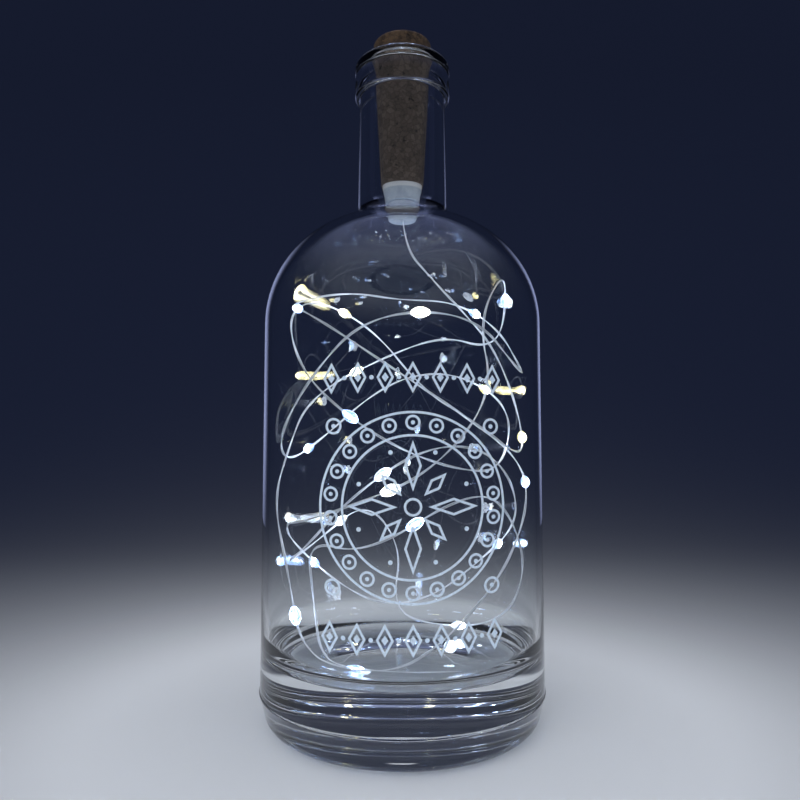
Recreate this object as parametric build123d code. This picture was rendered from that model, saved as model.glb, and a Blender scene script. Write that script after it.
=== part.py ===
from build123d import *
import math
import os

# Cork bottle light: a clear glass bottle, a battery stopper in its neck and a string of lamps inside.
# Millimetres. The bottle stands on z = 0 with its axis on Z, and its front looks along -Y.

# Glass bottle
BODY_DIAMETER = 88.0
BOTTLE_HEIGHT = 210.0
WALL = 2.0
BASE_THICKNESS = 19.0
HEEL_HEIGHT = 9.6
HEEL_INSET = 2.2
HEEL_RADIUS = 4.5
FLOOR_CORNER_RADIUS = 9.0
PUNT_DIAMETER = 60.0
PUNT_DEPTH = 1.5
SHOULDER_START = 122.0
SHOULDER_RADIUS = 36.0
NECK_ROOT_DIAMETER = 29.4
NECK_TOP_DIAMETER = 28.2
NECK_ROOT_FILLET = 5.0
COLLAR_DIAMETER = 31.4
COLLAR_HEIGHT = 11.5
COLLAR_ROUNDING = 1.2
LIP_HEIGHT = 3.6
GROOVE_WIDTH = 0.8
GROOVE_DEPTH = 0.5
MOUTH_BORE = 18.6
MOUTH_ROUNDING = 1.0
THROAT_ROUNDING = 10.0

# Stopper
SEAT_CLEARANCE = 0.05
STOPPER_TAPER = 3.2
STOPPER_RISE = 8.0
SLEEVE_RISE = 2.0
SLEEVE_LENGTH = 44.0
SLEEVE_WALL = 0.8
LOWER_BORE = 10.4
HEAD_ROUNDING = 1.2
GLAND_LENGTH = 8.8
GLAND_TOP_DIAMETER = 13.1
GLAND_SHOULDER_DIAMETER = 12.0
GLAND_LIP_DIAMETER = 10.4
GLAND_LIP_HEIGHT = 3.2
GLAND_END_DIAMETER = 9.4
GLAND_END_ROUNDING = 1.0
GLAND_GROOVE_WIDTH = 0.5
GLAND_GROOVE_DEPTH = 0.4
GLAND_FLOOR = 2.2
GLAND_WALL = 1.15
SPIGOT_LENGTH = 4.0
PRESS_GAP = 0.05

# Cells and their carrier
CELL_COUNT = 3
CELL_DIAMETER = 11.6
CELL_HEIGHT = 5.4
CELL_FIT = 0.1
CARRIER_WALL = 0.75
SLIDE_CLEARANCE = 0.1
CARRIER_FLOOR = 1.0
CARRIER_LIFT = 0.3
CARRIER_PARTITION = 2.8
WINDOW_OFFSET = 1.5
SPRING_HOLE = 8.4

# Contacts and board
STRIP_THICKNESS = 0.25
STRIP_WIDTH = 1.6
STRIP_CLEARANCE = 0.1
TOUCH_GAP = 0.05
BOARD_THICKNESS = 1.0
SPRING_WIRE = 0.5
SPRING_BASE_RADIUS = 3.4
SPRING_TIP_RADIUS = 2.2
SPRING_TURNS = 5
RESISTOR_SIZE = (2.0, 1.25, 0.5)
SOLDER_RADIUS = 0.75
SOLDER_OFFSET = 2.2

# Slide switch
SWITCH_TRAVEL = 2.0
KNOB_LENGTH = 3.0
KNOB_WIDTH = 2.4
KNOB_SINK = 0.5
KNOB_CLEARANCE = 0.15
FLANGE_SIZE = (8.0, 4.0, 1.0)
SWITCH_BASE_THICKNESS = 1.0
WIPER_HEIGHT = 1.55
WIPER_THICKNESS = 0.2
RECESS_SIZE = (9.0, 4.6, 1.0)

# String of lamps
WIRE_DIAMETER = 0.8
WIRE_HOLE_CLEARANCE = 0.1
CORE_DIAMETER = 0.36
LEAD_TOP_INSET = 6.8
LAMP_LENGTH = 5.0
LAMP_DIAMETER = 3.0
LAMP_END_DIAMETER = 1.1
CHIP_SIZE = (0.6, 0.8, 1.6)
CHIP_STANDOFF = 0.1
LEAD_POINTS = 5
POINTS_PER_LAMP = 4
GAP_SKIP = 20.0

# Heights that follow from the values above
SLEEVE_TOP = BOTTLE_HEIGHT + SLEEVE_RISE
SLEEVE_BOTTOM = SLEEVE_TOP - SLEEVE_LENGTH
HEAD_TOP = BOTTLE_HEIGHT + STOPPER_RISE
GLAND_BOTTOM = SLEEVE_BOTTOM - GLAND_LENGTH
GLAND_CAVITY_FLOOR = GLAND_BOTTOM + GLAND_FLOOR
LEAD_TOP = GLAND_BOTTOM + LEAD_TOP_INSET
BOARD_BOTTOM = SLEEVE_BOTTOM + SPIGOT_LENGTH
BOARD_TOP = BOARD_BOTTOM + BOARD_THICKNESS

# Radii of the fits, from the cells outwards
POCKET_RADIUS = CELL_DIAMETER / 2 + CELL_FIT
CARRIER_RADIUS = POCKET_RADIUS + CARRIER_WALL
UPPER_BORE_RADIUS = CARRIER_RADIUS + SLIDE_CLEARANCE
LOWER_BORE_RADIUS = LOWER_BORE / 2
SPIGOT_RADIUS = LOWER_BORE_RADIUS - PRESS_GAP
CAVITY_RADIUS = SPIGOT_RADIUS - GLAND_WALL

# The shelf in the sleeve lies as low as its wall allows, and the stack is built up from it
SHELF = BOTTLE_HEIGHT - (
    MOUTH_BORE / 2 - SEAT_CLEARANCE - UPPER_BORE_RADIUS - SLEEVE_WALL
) / math.tan(math.radians(STOPPER_TAPER))
CARRIER_BOTTOM = SHELF + CARRIER_LIFT
CELLS_BOTTOM = CARRIER_BOTTOM + CARRIER_FLOOR
CELLS_TOP = CELLS_BOTTOM + CELL_COUNT * CELL_HEIGHT
PARTITION_BOTTOM = CELLS_TOP + TOUCH_GAP + STRIP_THICKNESS + 0.4
PARTITION_TOP = PARTITION_BOTTOM + CARRIER_PARTITION
PAD_LEVEL = PARTITION_TOP + SWITCH_BASE_THICKNESS
PAD_TOP = PAD_LEVEL + STRIP_THICKNESS
FLANGE_BOTTOM = PAD_TOP + TOUCH_GAP + WIPER_HEIGHT + TOUCH_GAP
HEAD_SPIGOT_BOTTOM = FLANGE_BOTTOM + FLANGE_SIZE[2] + KNOB_CLEARANCE
KNOB_REST = -SWITCH_TRAVEL / 2

# Places of the two contact strips across the stopper
STRIP_X = -(CARRIER_RADIUS - STRIP_THICKNESS / 2 - STRIP_CLEARANCE)
STRIP_FOOT_X = -(LOWER_BORE_RADIUS - 1.2)
STRIP_PAD_X = -2.0
RISER_X = POCKET_RADIUS - 1.3
RISER_PAD_X = 0.9

# Route of the string: azimuth from the front towards the right in degrees, radius and height.
# The first row runs down from the stopper; then each row is one lamp, between the first two points,
# and the last row also has the end of the string.
ROUTE = [
    (0, 0, LEAD_TOP), (0, 0, 150), (84, 10, 138), (82, 20, 126.5), (86, 30, 115),
    (98, 40, 94), (66, 39.5, 79), (38, 35, 89.5), (0, 35, 103),
    (318, 38, 121), (272, 38, 130), (226, 28, 139), (182, 30, 138),
    (146, 34, 137), (113, 36.5, 125), (92, 40, 108), (58, 40, 105),
    (28, 40, 120.5), (346, 38.5, 119.5), (322, 41, 103), (294, 40.5, 85),
    (264, 38, 78), (226, 38, 88), (200, 38.5, 102), (176, 41, 111),
    (148, 41, 111), (108, 40.5, 97), (66, 33, 76), (26, 33, 77),
    (353, 39, 84.5), (321, 37.5, 99), (300, 37, 112), (272, 37, 127),
    (240, 36, 136), (198, 36, 128), (168, 38, 105), (138, 38, 93),
    (98, 40.5, 79), (68, 40.5, 66), (40, 39, 44), (358, 36.5, 21.5),
    (314, 38, 24), (304, 39, 48), (290, 40.8, 68), (258, 40.8, 80),
    (236, 40.8, 102), (180, 33.5, 120), (150, 34, 124), (120, 34, 118),
    (100, 35, 122), (60, 36, 138), (38, 34.5, 120), (44, 37, 98),
    (11, 40.5, 76.5), (339, 40.5, 67.5), (310, 38, 62), (282, 37, 60),
    (252, 40.5, 52), (217, 40, 34), (190, 39, 24), (162, 40, 28),
    (136, 40, 42), (100, 39.5, 58), (68, 35.5, 74), (38, 34.5, 84),
    (6, 39.5, 83), (334, 34, 69), (304, 34, 54), (270, 38, 46),
    (238, 36.5, 50), (200, 39.5, 64), (180, 40, 46), (186, 34, 26),
    (166, 27, 20.6), (107, 34, 24), (88, 40.5, 44), (56, 35.5, 68),
    (24, 39.5, 71), (346, 40, 55), (318, 39, 58), (310, 33, 40),
    (312, 31, 20.8), (354, 31, 20.6), (28, 34, 20.6),
]


def save(name, *solids):
    """Write one node: a single solid, or several alike that share it."""
    shape = solids[0] if len(solids) == 1 else Compound(children=list(solids))
    export_step(shape, f"parts/{name}.step")
    print(f"{name}: {sum(one.volume for one in solids):.1f} mm3")


def rounded(face, corner, radius):
    """Round the corner of a flat profile that lies nearest the given point."""
    vertex = face.vertices().sort_by_distance((*corner, 0))[0]
    return fillet(vertex, radius)


def turned(face):
    """Turn a profile drawn as radius and height once round the Z axis."""
    return revolve(Plane.XZ * face, Axis.Z).solid()


def lathe(points, roundings=()):
    """Turned piece from a straight-sided profile, with some of its corners rounded."""
    face = make_face(Polyline(*points, close=True))
    for corner, radius in roundings:
        face = rounded(face, corner, radius)
    return turned(face)


def strip(points, thickness, width):
    """Bent metal strip: a band along points given as x and z, centred across Y."""
    band = trace(Polyline(*points), line_width=thickness)
    return extrude(Plane.XZ * band, width / 2, both=True).solid()


def block(x_range, y_range, z_range):
    """Block between pairs of x, y and z."""
    centre = [(low + high) / 2 for low, high in (x_range, y_range, z_range)]
    size = [high - low for low, high in (x_range, y_range, z_range)]
    return Pos(*centre) * Box(*size)


def stopper_radius(height):
    """Radius of the tapered stopper at a height of the bottle's frame."""
    slope = math.tan(math.radians(STOPPER_TAPER))
    return MOUTH_BORE / 2 - SEAT_CLEARANCE + (height - BOTTLE_HEIGHT) * slope


def arc_point(centre, radius, angle):
    """Point on a circle in a profile, its angle from the radial direction."""
    turn = math.radians(angle)
    return (centre[0] + radius * math.cos(turn), centre[1] + radius * math.sin(turn))


def glass_pieces():
    """The bottle's glass in two nodes that meet where the neck rises from the shoulder."""
    glass = blown_glass()
    reach = BODY_DIAMETER
    foot = NECK_ROOT_DIAMETER / 2 + NECK_ROOT_FILLET - (BODY_DIAMETER / 2 - SHOULDER_RADIUS)
    seam = SHOULDER_START + math.sqrt((SHOULDER_RADIUS + NECK_ROOT_FILLET) ** 2 - foot ** 2)
    above = block((-reach, reach), (-reach, reach), (seam, BOTTLE_HEIGHT + reach))
    return (glass - above).solid(), (glass & above).solid()


def blown_glass():
    """Bottle with a thick base, a domed shoulder, a straight neck and a collar round the mouth."""
    outer = BODY_DIAMETER / 2
    inner = outer - WALL
    bore = MOUTH_BORE / 2
    neck_root = NECK_ROOT_DIAMETER / 2
    neck_top = NECK_TOP_DIAMETER / 2
    collar = COLLAR_DIAMETER / 2
    collar_bottom = BOTTLE_HEIGHT - COLLAR_HEIGHT
    groove_top = BOTTLE_HEIGHT - LIP_HEIGHT
    groove_bottom = groove_top - GROOVE_WIDTH
    dome = (outer - SHOULDER_RADIUS, SHOULDER_START)
    inside_radius = SHOULDER_RADIUS - WALL
    root_angle = math.degrees(math.acos((neck_root - dome[0]) / SHOULDER_RADIUS))
    throat_angle = math.degrees(math.acos((bore - dome[0]) / inside_radius))
    root = arc_point(dome, SHOULDER_RADIUS, root_angle)
    throat = arc_point(dome, inside_radius, throat_angle)
    punt = PUNT_DIAMETER / 2
    punt_sphere = (punt ** 2 + PUNT_DEPTH ** 2) / (2 * PUNT_DEPTH)
    punt_middle = PUNT_DEPTH - punt_sphere + math.sqrt(punt_sphere ** 2 - (punt / 2) ** 2)
    heel = (outer - HEEL_INSET, 0)
    dome_start = (outer, SHOULDER_START)
    outline = [
        ThreePointArc((0, PUNT_DEPTH), (punt / 2, punt_middle), (punt, 0)),
        Polyline((punt, 0), heel, (outer, HEEL_HEIGHT), dome_start),
        ThreePointArc(dome_start, arc_point(dome, SHOULDER_RADIUS, root_angle / 2), root),
        Polyline(
            root, (neck_top, collar_bottom), (collar, collar_bottom), (collar, groove_bottom),
            (collar - GROOVE_DEPTH, groove_bottom), (collar - GROOVE_DEPTH, groove_top),
            (collar, groove_top), (collar, BOTTLE_HEIGHT), (bore, BOTTLE_HEIGHT), throat,
        ),
        ThreePointArc(throat, arc_point(dome, inside_radius, throat_angle / 2), (inner, SHOULDER_START)),
        Polyline((inner, SHOULDER_START), (inner, BASE_THICKNESS), (0, BASE_THICKNESS), (0, PUNT_DEPTH)),
    ]
    face = make_face(outline)
    roundings = [
        (heel, HEEL_RADIUS),
        (root, NECK_ROOT_FILLET),
        ((neck_top, collar_bottom), 0.3 * (collar - neck_top)),
        ((collar, collar_bottom), 0.6 * (collar - neck_top)),
        ((collar, BOTTLE_HEIGHT), COLLAR_ROUNDING),
        ((bore, BOTTLE_HEIGHT), MOUTH_ROUNDING),
        (throat, THROAT_ROUNDING),
        ((inner, BASE_THICKNESS), FLOOR_CORNER_RADIUS),
    ]
    for corner, radius in roundings:
        face = rounded(face, corner, radius)
    return turned(face)


def cork_sleeve():
    """Tapered casing of the stopper, with a wide bore for the carrier and a narrow one below it."""
    return lathe(
        [
            (LOWER_BORE_RADIUS, SLEEVE_BOTTOM),
            (stopper_radius(SLEEVE_BOTTOM), SLEEVE_BOTTOM),
            (stopper_radius(SLEEVE_TOP), SLEEVE_TOP),
            (UPPER_BORE_RADIUS, SLEEVE_TOP),
            (UPPER_BORE_RADIUS, SHELF),
            (LOWER_BORE_RADIUS, SHELF),
        ],
        [((stopper_radius(SLEEVE_BOTTOM), SLEEVE_BOTTOM), 0.3)],
    )


def wire_gland():
    """Clear end piece pressed into the sleeve; the string leaves through the hole in its floor."""
    hole = WIRE_DIAMETER / 2 + WIRE_HOLE_CLEARANCE
    end = GLAND_END_DIAMETER / 2
    lip = GLAND_LIP_DIAMETER / 2
    lip_top = GLAND_BOTTOM + GLAND_LIP_HEIGHT
    groove_top = lip_top + GLAND_GROOVE_WIDTH
    return lathe(
        [
            (hole, GLAND_BOTTOM),
            (end, GLAND_BOTTOM),
            (lip, lip_top),
            (lip - GLAND_GROOVE_DEPTH, lip_top),
            (lip - GLAND_GROOVE_DEPTH, groove_top),
            (GLAND_SHOULDER_DIAMETER / 2, groove_top),
            (GLAND_TOP_DIAMETER / 2, SLEEVE_BOTTOM),
            (SPIGOT_RADIUS, SLEEVE_BOTTOM),
            (SPIGOT_RADIUS, BOARD_BOTTOM),
            (CAVITY_RADIUS, BOARD_BOTTOM),
            (CAVITY_RADIUS, GLAND_CAVITY_FLOOR),
            (hole, GLAND_CAVITY_FLOOR),
        ],
        [((end, GLAND_BOTTOM), GLAND_END_ROUNDING), ((CAVITY_RADIUS, GLAND_CAVITY_FLOOR), 0.4)],
    )


def glue_drop():
    """Drop of glue on the gland's floor that holds the string."""
    hole = WIRE_DIAMETER / 2 + PRESS_GAP
    radius = CAVITY_RADIUS - 1.1
    height = 2.0
    top = GLAND_CAVITY_FLOOR + height
    outline = [
        Line((hole, GLAND_CAVITY_FLOOR), (radius, GLAND_CAVITY_FLOOR)),
        ThreePointArc(
            (radius, GLAND_CAVITY_FLOOR), (0.78 * radius, GLAND_CAVITY_FLOOR + 0.62 * height), (hole, top)
        ),
        Line((hole, top), (hole, GLAND_CAVITY_FLOOR)),
    ]
    return turned(make_face(outline))


def lamp_board():
    """Round circuit board on top of the gland."""
    return lathe([(0, BOARD_BOTTOM), (SPIGOT_RADIUS, BOARD_BOTTOM), (SPIGOT_RADIUS, BOARD_TOP), (0, BOARD_TOP)])


def series_resistor():
    """Chip resistor under the board, its end caps a little proud of its middle."""
    length, width, height = RESISTOR_SIZE
    body = Pos(0, SOLDER_OFFSET, BOARD_BOTTOM - height / 2) * Box(length, width, height)
    waist = Pos(0, SOLDER_OFFSET, BOARD_BOTTOM - height) * Box(length / 2, width, 0.1)
    return (body - waist).solid()


def inner_lead(side):
    """One core of the string, from the end of the twisted pair up to its solder joint."""
    start = Vector(side * (WIRE_DIAMETER - CORE_DIAMETER) / 2.2, 0, LEAD_TOP + 2 * PRESS_GAP)
    end = Vector(side * SOLDER_OFFSET, 0, BOARD_BOTTOM - SOLDER_RADIUS / 2)
    line = Line(start, end)
    return sweep(Plane(start, z_dir=end - start) * Circle(CORE_DIAMETER / 2), line).solid()


def solder_joint(side):
    """Solder dome under the board, round the end of its lead."""
    dome = Pos(side * SOLDER_OFFSET, 0, BOARD_BOTTOM) * Sphere(SOLDER_RADIUS)
    below = block((-9, 9), (-9, 9), (BOARD_BOTTOM - 3, BOARD_BOTTOM))
    return ((dome & below) - inner_lead(side)).solid()


def negative_spring():
    """Conical coil on the board that presses on the lowest cell."""
    base = BOARD_TOP + SPRING_WIRE / 2 + TOUCH_GAP
    height = CELLS_BOTTOM - TOUCH_GAP - SPRING_WIRE / 2 - base
    cone = math.degrees(math.atan((SPRING_TIP_RADIUS - SPRING_BASE_RADIUS) / height))
    coil = Helix(height / SPRING_TURNS, height, SPRING_BASE_RADIUS, (0, 0, base), cone_angle=cone)
    return sweep(Plane(coil @ 0, z_dir=coil % 0) * Circle(SPRING_WIRE / 2), coil, is_frenet=True).solid()


def strip_spring():
    """Upright leaf on the board that meets the foot of the positive strip."""
    x = STRIP_FOOT_X - STRIP_THICKNESS
    top = SHELF + TOUCH_GAP - 2 * TOUCH_GAP
    return strip([(x, BOARD_TOP), (x, top)], STRIP_THICKNESS, STRIP_WIDTH)


def cell_carrier():
    """Open-fronted cradle for the cells, with the switch chamber above them."""
    body = lathe([
        (SPRING_HOLE / 2, CARRIER_BOTTOM), (CARRIER_RADIUS, CARRIER_BOTTOM), (CARRIER_RADIUS, SLEEVE_TOP),
        (POCKET_RADIUS, SLEEVE_TOP), (POCKET_RADIUS, PARTITION_TOP), (0, PARTITION_TOP),
        (0, PARTITION_BOTTOM), (POCKET_RADIUS, PARTITION_BOTTOM), (POCKET_RADIUS, CELLS_BOTTOM),
        (SPRING_HOLE / 2, CELLS_BOTTOM),
    ])
    half_slot = STRIP_WIDTH / 2 + STRIP_CLEARANCE
    reach = CARRIER_RADIUS + 1
    window = block((-reach, reach), (-reach, -WINDOW_OFFSET), (CELLS_BOTTOM, PARTITION_BOTTOM))
    groove_bed = STRIP_X + STRIP_THICKNESS / 2 + STRIP_CLEARANCE
    groove_top = PAD_TOP + STRIP_CLEARANCE
    groove = block((-reach, groove_bed), (-half_slot, half_slot), (CARRIER_BOTTOM, groove_top))
    pad_slot = block((-reach, -POCKET_RADIUS / 2), (-half_slot, half_slot), (PAD_LEVEL, groove_top))
    return (body - window - groove - pad_slot - riser_slot()).solid()


def riser_slot():
    """Passage of the top contact through the partition and the switch base."""
    half_width = STRIP_WIDTH / 2 + STRIP_CLEARANCE
    half_depth = STRIP_THICKNESS / 2 + STRIP_CLEARANCE
    return block(
        (RISER_X - half_depth, RISER_X + half_depth),
        (-half_width, half_width),
        (PARTITION_BOTTOM - 1, PAD_LEVEL),
    )


def button_cell(number):
    """Button cell, negative cap down; the cells stand on each other."""
    radius = CELL_DIAMETER / 2
    low = CELLS_BOTTOM + number * CELL_HEIGHT
    high = low + CELL_HEIGHT
    return lathe(
        [
            (0, low), (0.86 * radius, low), (0.86 * radius, low + 0.45), (0.95 * radius, low + 0.45),
            (radius, low + 0.8), (radius, high), (0, high),
        ],
        [((radius, high), 0.3), ((0.86 * radius, low), 0.2)],
    )


def top_contact():
    """Leaf on the top cell, with a riser through the partition to its pad in the switch."""
    leaf = CELLS_TOP + TOUCH_GAP + STRIP_THICKNESS / 2
    pad = PAD_LEVEL + STRIP_THICKNESS / 2
    points = [(-POCKET_RADIUS / 2, leaf), (RISER_X, leaf), (RISER_X, pad), (RISER_PAD_X, pad)]
    return strip(points, STRIP_THICKNESS, STRIP_WIDTH)


def positive_strip():
    """Strip from the second pad of the switch, down outside the carrier, to a foot under it."""
    foot = CARRIER_BOTTOM - TOUCH_GAP - STRIP_THICKNESS / 2 + TOUCH_GAP / 2
    pad = PAD_LEVEL + STRIP_THICKNESS / 2
    points = [(STRIP_FOOT_X, foot), (STRIP_X, foot), (STRIP_X, pad), (STRIP_PAD_X, pad)]
    return strip(points, STRIP_THICKNESS, STRIP_WIDTH)


def switch_base():
    """Insulating disc under the switch pads."""
    radius = POCKET_RADIUS - PRESS_GAP
    disc = lathe([(0, PARTITION_TOP), (radius, PARTITION_TOP), (radius, PAD_LEVEL), (0, PAD_LEVEL)])
    return (disc - riser_slot()).solid()


def switch_wiper():
    """Bridge under the knob that joins the two pads when the lamp is on."""
    foot = PAD_TOP + TOUCH_GAP + WIPER_THICKNESS / 2
    crown = FLANGE_BOTTOM - TOUCH_GAP - WIPER_THICKNESS / 2
    half = [(3.2, foot + 0.3), (2.6, foot + 0.02), (1.6, crown)]
    left = [(KNOB_REST - x, z) for x, z in half]
    right = [(KNOB_REST + x, z) for x, z in reversed(half)]
    return strip(left + right, WIPER_THICKNESS, STRIP_WIDTH)


def switch_knob():
    """Slider with a grip in the recess of the head and a flange that keeps it in."""
    length, width, height = FLANGE_SIZE
    top = HEAD_TOP - KNOB_SINK
    flange_top = FLANGE_BOTTOM + height
    flange = block(
        (KNOB_REST - length / 2, KNOB_REST + length / 2), (-width / 2, width / 2), (FLANGE_BOTTOM, flange_top)
    )
    stem = block(
        (KNOB_REST - KNOB_LENGTH / 2, KNOB_REST + KNOB_LENGTH / 2),
        (-KNOB_WIDTH / 2, KNOB_WIDTH / 2),
        (flange_top, top),
    )
    knob = flange + stem
    for offset in (-0.9, 0.0, 0.9):
        knob -= Pos(KNOB_REST + offset, 0, top) * Box(0.4, KNOB_WIDTH, 0.5)
    return knob.solid()


def cork_head():
    """Head of the stopper: a cap over the sleeve with a spigot into the carrier and the switch slot."""
    radius = POCKET_RADIUS - PRESS_GAP
    rim = (stopper_radius(HEAD_TOP), HEAD_TOP)
    body = lathe(
        [
            (0, HEAD_SPIGOT_BOTTOM), (radius, HEAD_SPIGOT_BOTTOM), (radius, SLEEVE_TOP),
            (stopper_radius(SLEEVE_TOP), SLEEVE_TOP), rim, (0, HEAD_TOP),
        ],
        [(rim, HEAD_ROUNDING)],
    )
    half_length = (KNOB_LENGTH + SWITCH_TRAVEL) / 2 + KNOB_CLEARANCE
    half_width = KNOB_WIDTH / 2 + KNOB_CLEARANCE
    slot = block(
        (-half_length, half_length), (-half_width, half_width), (HEAD_SPIGOT_BOTTOM - 1, HEAD_TOP + 1)
    )
    length, width, depth = RECESS_SIZE
    recess = block((-length / 2, length / 2), (-width / 2, width / 2), (HEAD_TOP - depth, HEAD_TOP + 1))
    return (body - slot - recess).solid()


def route_points():
    """Route of the string in space."""
    points = []
    for azimuth, radius, height in ROUTE:
        turn = math.radians(azimuth)
        points.append(Vector(radius * math.sin(turn), -radius * math.cos(turn), height))
    return points


def corner_radii(points):
    """Bend radius at each inner point of the route, from the shorter run beside it."""
    radii = []
    for before, corner, after in zip(points, points[1:], points[2:]):
        half_turn = math.radians((corner - before).get_angle(after - corner)) / 2
        shorter = min((corner - before).length, (after - corner).length)
        radii.append(0.45 * shorter / math.tan(half_turn))
    return radii


def wire_path(points, radii):
    """Line of the wire: straight runs joined by arcs."""
    return FilletPolyline(*points, radius=radii)


def wire_tube(path):
    """Round wire along its line."""
    return sweep(Plane(path @ 0, z_dir=path % 0) * Circle(WIRE_DIAMETER / 2), path).solid()


def least_self_gap(path):
    """Smallest air gap between stretches of the wire, on points about a millimetre apart along it."""
    stations = []
    for edge in path.edges():
        steps = max(1, round(edge.length))
        stations += [tuple(edge.position_at(step / steps)) for step in range(steps)]
    spread = round(GAP_SKIP)
    nearest = min(
        math.dist(place, other)
        for index, place in enumerate(stations)
        for other in stations[index + spread:]
    )
    return nearest - WIRE_DIAMETER


def light_string():
    """The string in two nodes: the lead that hangs from the stopper and the loops below it."""
    points = route_points()
    radii = corner_radii(points)
    joint = (points[LEAD_POINTS - 1] + points[LEAD_POINTS]) / 2
    whole = wire_path(points, radii)
    lead = wire_path(points[:LEAD_POINTS] + [joint], radii[:LEAD_POINTS - 1])
    loops = wire_path([joint] + points[LEAD_POINTS:], radii[LEAD_POINTS - 1:])
    print(f"string length {whole.length:.0f} mm, least bend radius {min(radii):.1f} mm")
    print(f"least gap of the string to itself {least_self_gap(whole):.2f} mm")
    return wire_tube(lead), wire_tube(loops)


def lamp_places():
    """Plane of each lamp: in the middle of its run, along the wire, its X away from the bottle's axis."""
    points = route_points()
    places = []
    for first in range(LEAD_POINTS, len(points), POINTS_PER_LAMP):
        start, end = points[first], points[first + 1]
        middle = (start + end) / 2
        outward = Vector(middle.X, middle.Y, 0)
        along = (end - start).normalized()
        across = (outward - along * outward.dot(along)).normalized()
        places.append(Plane(middle, x_dir=across, z_dir=along))
    return places


def lamp_drop():
    """Clear drop round the wire, with a pocket for its light chip; along Z at the origin."""
    bore = WIRE_DIAMETER / 2 + PRESS_GAP
    half = LAMP_LENGTH / 2
    end = LAMP_END_DIAMETER / 2
    outline = [
        Polyline((end, half), (bore, half), (bore, -half), (end, -half)),
        ThreePointArc((end, -half), (LAMP_DIAMETER / 2, 0), (end, half)),
    ]
    return (turned(make_face(outline)) - light_chip()).solid()


def light_chip():
    """Light chip beside the wire, on the drop's X side."""
    depth = CHIP_SIZE[0]
    return Pos(WIRE_DIAMETER / 2 + PRESS_GAP + CHIP_STANDOFF + depth / 2, 0, 0) * Box(*CHIP_SIZE)


def build():
    """Make every node of the light and write it."""
    os.makedirs("parts", exist_ok=True)
    body, neck = glass_pieces()
    save("glass_bottle", body)
    save("glass_neck", neck)
    save("cork_sleeve", cork_sleeve())
    save("wire_gland", wire_gland())
    save("glue_drop", glue_drop())
    save("lamp_board", lamp_board())
    save("series_resistor", series_resistor())
    save("inner_leads", inner_lead(-1), inner_lead(1))
    save("solder_joints", solder_joint(-1), solder_joint(1))
    save("negative_spring", negative_spring())
    save("strip_spring", strip_spring())
    save("cell_carrier", cell_carrier())
    for number in range(CELL_COUNT):
        save(f"button_cell_{number + 1}", button_cell(number))
    save("top_contact", top_contact())
    save("positive_strip", positive_strip())
    save("switch_base", switch_base())
    save("switch_wiper", switch_wiper())
    save("switch_knob", switch_knob())
    save("cork_head", cork_head())
    lead, loops = light_string()
    save("string_lead", lead)
    save("string_loops", loops)
    drop = lamp_drop()
    chip = light_chip()
    places = lamp_places()
    for number, place in enumerate(places, start=1):
        save(f"lamp_{number:02d}", place.location * drop)
    save("light_chips", *[place.location * chip for place in places])


build()
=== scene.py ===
# %% [markdown]
# # Cork bottle light
# A clear glass bottle holds a silver string of small lamps. The string hangs from a cork stopper in the
# neck, which hides the cells and a slide switch. The solids of the object come first: they are the frame
# that every piece in this lesson is fitted to. Blender counts in metres, with Z up and the front along -Y.

# %% Load the frame
import math

import bpy
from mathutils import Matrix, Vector


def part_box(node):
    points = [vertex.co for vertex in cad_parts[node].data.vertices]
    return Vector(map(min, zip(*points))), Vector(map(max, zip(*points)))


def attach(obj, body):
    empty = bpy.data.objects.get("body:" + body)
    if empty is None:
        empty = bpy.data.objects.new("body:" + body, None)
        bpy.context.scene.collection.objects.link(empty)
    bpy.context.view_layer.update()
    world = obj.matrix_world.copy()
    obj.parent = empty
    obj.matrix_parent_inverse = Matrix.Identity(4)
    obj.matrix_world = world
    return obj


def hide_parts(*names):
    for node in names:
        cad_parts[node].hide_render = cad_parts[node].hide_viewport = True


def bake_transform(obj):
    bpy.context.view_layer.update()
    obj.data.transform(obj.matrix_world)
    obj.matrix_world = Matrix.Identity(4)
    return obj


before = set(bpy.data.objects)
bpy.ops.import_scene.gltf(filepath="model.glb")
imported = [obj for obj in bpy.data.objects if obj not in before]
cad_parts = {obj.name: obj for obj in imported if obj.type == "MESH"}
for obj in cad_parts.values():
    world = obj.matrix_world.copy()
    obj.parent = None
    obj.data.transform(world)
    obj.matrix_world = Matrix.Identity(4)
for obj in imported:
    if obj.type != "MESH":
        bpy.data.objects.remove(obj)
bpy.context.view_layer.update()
MM = 0.001

# %% [markdown]
# ## Camera
# The bottle fills the picture from its base to the stopper, seen from close by and a little from below the
# middle, so a short lens is used and the view tilts up by a few degrees.

# %% Camera
SENSOR = 36
LENS = 30.6
NEAREST_SEEN = 0.01
CAMERA_PLACE = (-0.75 * MM, -220 * MM, 83.6 * MM)
CAMERA_TILT = 3.9

scene = bpy.context.scene
scene.view_settings.view_transform = "Standard"
camera_data = bpy.data.cameras.new("camera")
camera_data.sensor_width = SENSOR
camera_data.lens = LENS
camera_data.clip_start = NEAREST_SEEN
camera = bpy.data.objects.new("camera", camera_data)
camera.location = CAMERA_PLACE
camera.rotation_euler = (math.radians(90 + CAMERA_TILT), 0, 0)
scene.collection.objects.link(camera)
scene.camera = camera
print("camera with a lens of", LENS, "mm looks up by", CAMERA_TILT, "degrees")

# %% [markdown]
# ## Small helpers
# Operators act on what is selected, so each piece starts from an empty selection. A lathe profile is drawn
# the way it is by hand: one vertex is extruded along the outline, and the outline is spun about the axis.


# %% Selection and finishing helpers
def deselect_all():
    """Leave edit mode and select nothing."""
    if bpy.context.object and bpy.context.object.mode != "OBJECT":
        bpy.ops.object.mode_set(mode="OBJECT")
    bpy.ops.object.select_all(action="DESELECT")


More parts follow.
